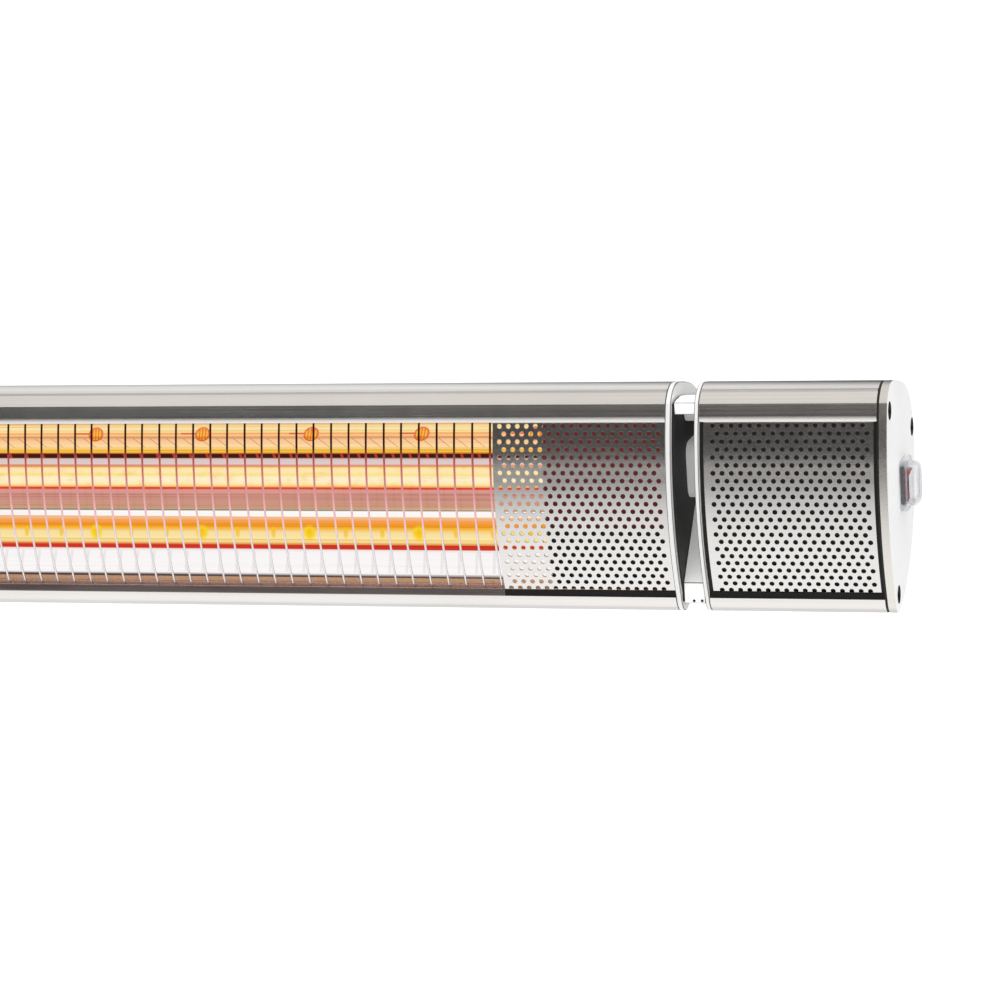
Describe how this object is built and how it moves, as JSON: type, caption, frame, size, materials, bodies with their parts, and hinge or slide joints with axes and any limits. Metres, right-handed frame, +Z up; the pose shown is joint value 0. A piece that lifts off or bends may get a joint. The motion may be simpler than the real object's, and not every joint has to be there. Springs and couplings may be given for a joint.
{
  "type": "heat lamp warmer",
  "caption": "Linear infrared heat lamp warmer: glowing quartz lamp and mirror reflector behind a curved wire guard, perforated end panels, separate switch box and tilting wall bracket.",
  "frame": {"origin": "centre of the wall plate's back face, level with the tilt pivot", "axes": "+X along the heater towards the switch box, +Y into the wall, -Y is the heated side, +Z up"},
  "size_m": [0.9093, 0.1486, 0.1231],
  "materials": {
    "extruded_aluminium": "satin anodised extrusion",
    "plate_aluminium": "polished edge, satin face",
    "polished_reflector": "polished",
    "perforated_stainless": "bright rolled",
    "guard_steel": "bright",
    "gold_quartz": "gold coated",
    "filament": "glowing coil",
    "ceramic": "matt",
    "lead_red": "silicone sleeve",
    "lead_blue": "silicone sleeve",
    "white_cap": "white powder coat",
    "neck_white": "white powder coat",
    "seal_rubber": "matt",
    "zinc_fastener": "zinc plated",
    "black_plastic": "fine texture",
    "cable_rubber": "matt",
    "circuit_board": "solder mask",
    "white_plastic": "moulded",
    "heat_sink_aluminium": "plain",
    "rocker_red": "moulded",
    "clear_silicone": "clear silicone",
    "bracket_steel": "dark grey powder coat"
  },
  "bodies": {
    "wall": {"wall_bracket": "bracket_steel", "pivot_bolt_left": "zinc_fastener", "pivot_bolt_right": "zinc_fastener", "pivot_washer_left": "zinc_fastener", "pivot_washer_right": "zinc_fastener"},
    "yoke": {"tilt_yoke": "bracket_steel", "slot_nut_left": "zinc_fastener", "slot_nut_right": "zinc_fastener", "clamp_screw_left": "zinc_fastener", "clamp_screw_right": "zinc_fastener"},
    "head": {"body_extrusion": "extruded_aluminium", "reflector": "polished_reflector", "reflector_end_right": "polished_reflector", "reflector_end_left": "polished_reflector", "quartz_tube": "gold_quartz", "lamp_filament": "filament", "lamp_base_right": "ceramic", "lamp_base_left": "ceramic", "lamp_holder_right": "ceramic", "lamp_holder_left": "ceramic", "lamp_lead_right": "lead_red", "lamp_lead_left": "lead_blue", "wire_guard": "guard_steel", "perforated_panel_right": "perforated_stainless", "perforated_panel_left": "perforated_stainless", "perforated_panel_box": "perforated_stainless", "body_end_plate": "plate_aluminium", "box_end_plate": "plate_aluminium", "neck_bridge": "neck_white", "neck_conduit": "neck_white", "neck_seal": "seal_rubber", "neck_bolt_upper": "zinc_fastener", "neck_nut_upper": "zinc_fastener", "neck_bolt_lower": "zinc_fastener", "neck_nut_lower": "zinc_fastener", "box_extrusion": "extruded_aluminium", "cable_gland": "black_plastic", "gland_nut": "black_plastic", "power_cable": "cable_rubber", "control_board": "circuit_board", "board_carrier": "zinc_fastener", "power_relay": "black_plastic", "terminal_block": "white_plastic", "heat_sink": "heat_sink_aluminium", "end_cap_right": "white_cap", "end_cap_left": "white_cap", "end_seal_right": "seal_rubber", "end_seal_left": "seal_rubber", "cap_screw_right_top": "zinc_fastener", "cap_screw_left_top": "zinc_fastener", "cap_screw_right_back": "zinc_fastener", "cap_screw_left_back": "zinc_fastener", "cap_screw_right_bottom": "zinc_fastener", "cap_screw_left_bottom": "zinc_fastener", "switch_body": "black_plastic", "switch_boot": "clear_silicone"},
    "rocker": {"switch_rocker": "rocker_red"},
    "knob_left": {"clamp_knob_left": "black_plastic"},
    "knob_right": {"clamp_knob_right": "black_plastic"}
  },
  "joints": [
    {"name": "head_tilt", "type": "hinge", "parent": "wall", "child": "yoke", "pos_m": [0, -0.04, 0], "axis": [1, 0, 0], "range_deg": [-13.7, 31.3]},
    {"name": "slot_slide", "type": "slide", "parent": "yoke", "child": "head", "axis": [1, 0, 0], "range_m": [-0.12, 0.12]},
    {"name": "rocker_switch", "type": "hinge", "parent": "head", "child": "rocker", "pos_m": [0.4496, -0.09921, -0.01382], "axis": [0, 0.9715, 0.2368], "range_deg": [-16, 0]},
    {"name": "knob_left_turn", "type": "hinge", "parent": "wall", "child": "knob_left", "pos_m": [-0.083, -0.04, 0], "axis": [-1, 0, 0], "range_deg": [0, 270]},
    {"name": "knob_right_turn", "type": "hinge", "parent": "wall", "child": "knob_right", "pos_m": [0.083, -0.04, 0], "axis": [1, 0, 0], "range_deg": [0, 270]}
  ]
}
